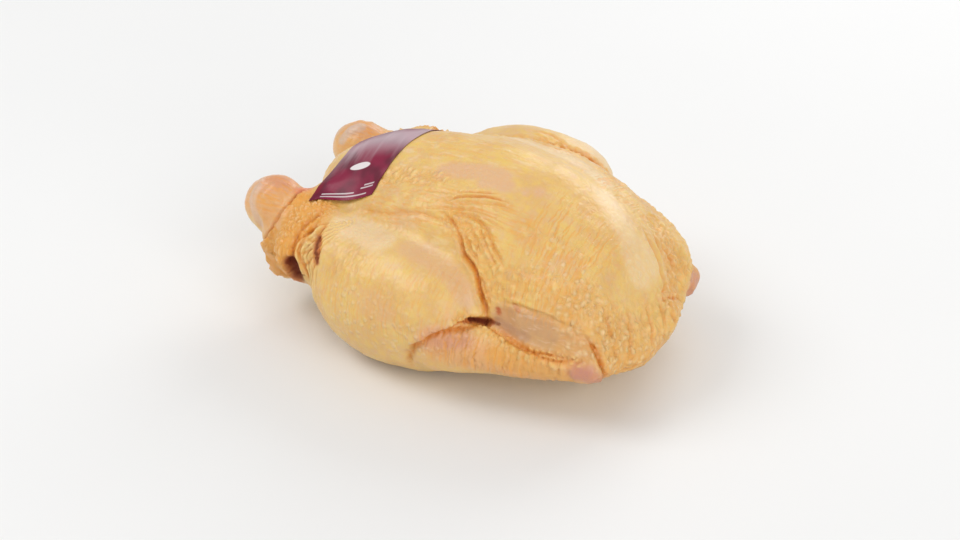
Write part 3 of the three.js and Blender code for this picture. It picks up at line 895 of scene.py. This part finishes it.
def edge_at(edge, t):
    """A point on a smooth curve through an edge's points, for t from 0 to 1."""
    spots = [Vector(edge[0]) * 2 - Vector(edge[1])] + [Vector(p) for p in edge]
    spots.append(Vector(edge[-1]) * 2 - Vector(edge[-2]))
    place = min(t * (len(edge) - 1), len(edge) - 1 - TINY)
    k = int(place)
    u = place - k
    a, b, c, d = spots[k:k + 4]
    return 0.5 * (2 * b + (c - a) * u + (2 * a - 5 * b + 4 * c - d) * u * u
                  + (3 * b - a - 3 * c + d) * u**3)


dressed = BVHTree.FromPolygons(
    [tuple(p) for p in surface.points], [tuple(f.vertices) for f in skin.data.polygons]
)


def height_at(x, y):
    """The skin's height above a spot of the ground."""
    hit = dressed.ray_cast(Vector((x, y, RAY_START)), Vector((0, 0, -1)))[0]
    return hit.z if hit else 0.0


column_count = LABEL_STEPS_ALONG + 1
row_count = LABEL_STEPS_AROUND + 1
plan = np.zeros((row_count, column_count, 3))
for row in range(row_count):
    v = row / LABEL_STEPS_AROUND
    for column in range(column_count):
        u = column / LABEL_STEPS_ALONG
        t = v + NEAR_CUT * math.sin(math.pi * u) * (1 - v) ** 4
        spot = edge_at(REAR_EDGE, t).lerp(edge_at(FRONT_EDGE, t), u) * MM
        plan[row, column] = (spot.x, spot.y, height_at(spot.x, spot.y) + LABEL_LIFT)
# The film is stiff: it bridges the small hollows and never dips into the skin.
ground = plan[:, :, 2].copy()
for _ in range(RELAX_ROUNDS):
    z = plan[:, :, 2]
    relaxed = z.copy()
    relaxed[1:-1, :] = 0.5 * z[1:-1, :] + 0.25 * (z[:-2, :] + z[2:, :])
    z = relaxed.copy()
    relaxed[:, 1:-1] = 0.5 * z[:, 1:-1] + 0.25 * (z[:, :-2] + z[:, 2:])
    plan[:, :, 2] = np.clip(relaxed, ground, ground + LABEL_GAP)

film_mesh = bpy.data.meshes.new("label_film")
corners = np.arange(row_count * column_count).reshape(row_count, column_count)
faces = np.stack(
    [corners[:-1, :-1], corners[:-1, 1:], corners[1:, 1:], corners[1:, :-1]], axis=-1
).reshape(-1, 4).tolist()
film_mesh.from_pydata([tuple(p) for p in plan.reshape(-1, 3)], [], faces)
for name, line in (
    ("across", np.tile(np.linspace(0, 1, column_count), row_count)),
    ("down", np.repeat(np.linspace(0, 1, row_count), column_count)),
):
    film_mesh.attributes.new(name, "FLOAT", "POINT").data.foreach_set("value", line)
label = bpy.data.objects.new("label_film", film_mesh)
bpy.context.scene.collection.objects.link(label)
bpy.ops.object.select_all(action="DESELECT")
label.select_set(True)
bpy.context.view_layer.objects.active = label
bpy.ops.object.mode_set(mode="EDIT")
bpy.ops.mesh.select_all(action="SELECT")
bpy.ops.mesh.normals_make_consistent(inside=False)
bpy.ops.object.mode_set(mode="OBJECT")
if label.data.polygons[0].normal.z < 0:
    label.data.flip_normals()
wall = label.modifiers.new("wall", "SOLIDIFY")
wall.thickness = FILM
wall.offset = 1.0
bpy.ops.object.modifier_apply(modifier="wall")
bpy.ops.object.shade_smooth_by_angle(angle=SMOOTH_ANGLE)

BURGUNDY = (0.24, 0.010, 0.045)
DEEP_BURGUNDY = (0.07, 0.005, 0.018)
WINE_RED = (0.34, 0.01, 0.035)
LILAC_SHEEN = (0.60, 0.47, 0.51)
PRINT = (0.80, 0.74, 0.74)
CLOUD_SIZE = 18 * MM
SHEEN_SIZE = 7 * MM
CRUMPLE_SIZE = 12 * MM
CRUMPLE_HEIGHT = 1.2 * MM
CRUMPLE_STRENGTH = 0.35
# The label's length against its width, so that round marks come out round.
LABEL_SHAPE = 2.2
# The oval mark: its place across and down the label, its radius, and how narrow
# it is against a round one.
MARK = (0.50, 0.30, 0.065, 0.42)
# The bars: each one's place down the label, and where it starts and ends across.
BARS = [(0.035, 0.12, 0.86), (0.065, 0.12, 0.62), (0.095, 0.70, 0.92), (0.12, 0.74, 0.92)]
BAR_THICKNESS = 0.008
BAR_RIM = 0.6
BAR_END = 0.01
FILM_SHEEN = 0.2
FILM_COAT = 0.06
FILM_COAT_ROUGHNESS = 0.12

label_finish, nodes, label_shader = new_material("printed_film")
across = nodes.mask("across")
down = nodes.mask("down")
place = nodes.node("ShaderNodeTexCoord", output=3)
cloud = nodes.clouds(place, CLOUD_SIZE)
colour = cloud.between(0.35, 0.65).over(BURGUNDY, DEEP_BURGUNDY)
colour = (cloud.between(0.5, 0.7) * 0.6).over(colour, WINE_RED)
# Lilac streaks of sheen, painted reflections that are strongest across the
# middle of the label, and a broad painted lilac sheen beyond its middle.
streak = nodes.clouds(nodes.stretched(place, 1.0, 0.22, 0.22), SHEEN_SIZE)
leaning = down - 0.2 * across
sheen = streak.between(0.48, 0.72) * (0.03 + 0.72 * down.between(0.2, 0.6))
sheen = sheen * (1 - 0.75 * leaning.between(0.44, 0.56))
colour = (sheen * 0.75).over(colour, LILAC_SHEEN)
colour = (down.between(0.34, 0.55) * leaning.between(0.60, 0.44) * 0.75).over(colour, LILAC_SHEEN)


def oval(u, v, radius, narrow):
    """1 inside an oval mark on the label, with a soft rim."""
    sideways = nodes.maths("POWER", (across - u) * narrow, 2.0)
    lengthways = nodes.maths("POWER", (down - v) * LABEL_SHAPE, 2.0)
    return (sideways + lengthways).between((radius * 1.08) ** 2, (radius * 0.92) ** 2)


colour = oval(*MARK).over(colour, PRINT)
for height, start, end in BARS:
    bar = across.between(start, start + BAR_END) * across.between(end, end - BAR_END)
    bar = bar * down.between(height - BAR_THICKNESS, height - BAR_THICKNESS * BAR_RIM)
    bar = bar * down.between(height + BAR_THICKNESS, height + BAR_THICKNESS * BAR_RIM)
    colour = (bar * 0.7).over(colour, PRINT)
feed(colour, label_shader, "Base Color")
feed(0.28 + 0.16 * cloud, label_shader, "Roughness")
label_shader.inputs["Specular IOR Level"].default_value = FILM_SHEEN
label_shader.inputs["Coat Weight"].default_value = FILM_COAT
label_shader.inputs["Coat Roughness"].default_value = FILM_COAT_ROUGHNESS
crumple = nodes.clouds(place, CRUMPLE_SIZE)
bumps = {"Strength": CRUMPLE_STRENGTH, "Distance": CRUMPLE_HEIGHT, "Height": crumple}
feed(nodes.node("ShaderNodeBump", inputs=bumps), label_shader, "Normal")
label.data.materials.append(label_finish)

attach(label, "root")
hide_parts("label")
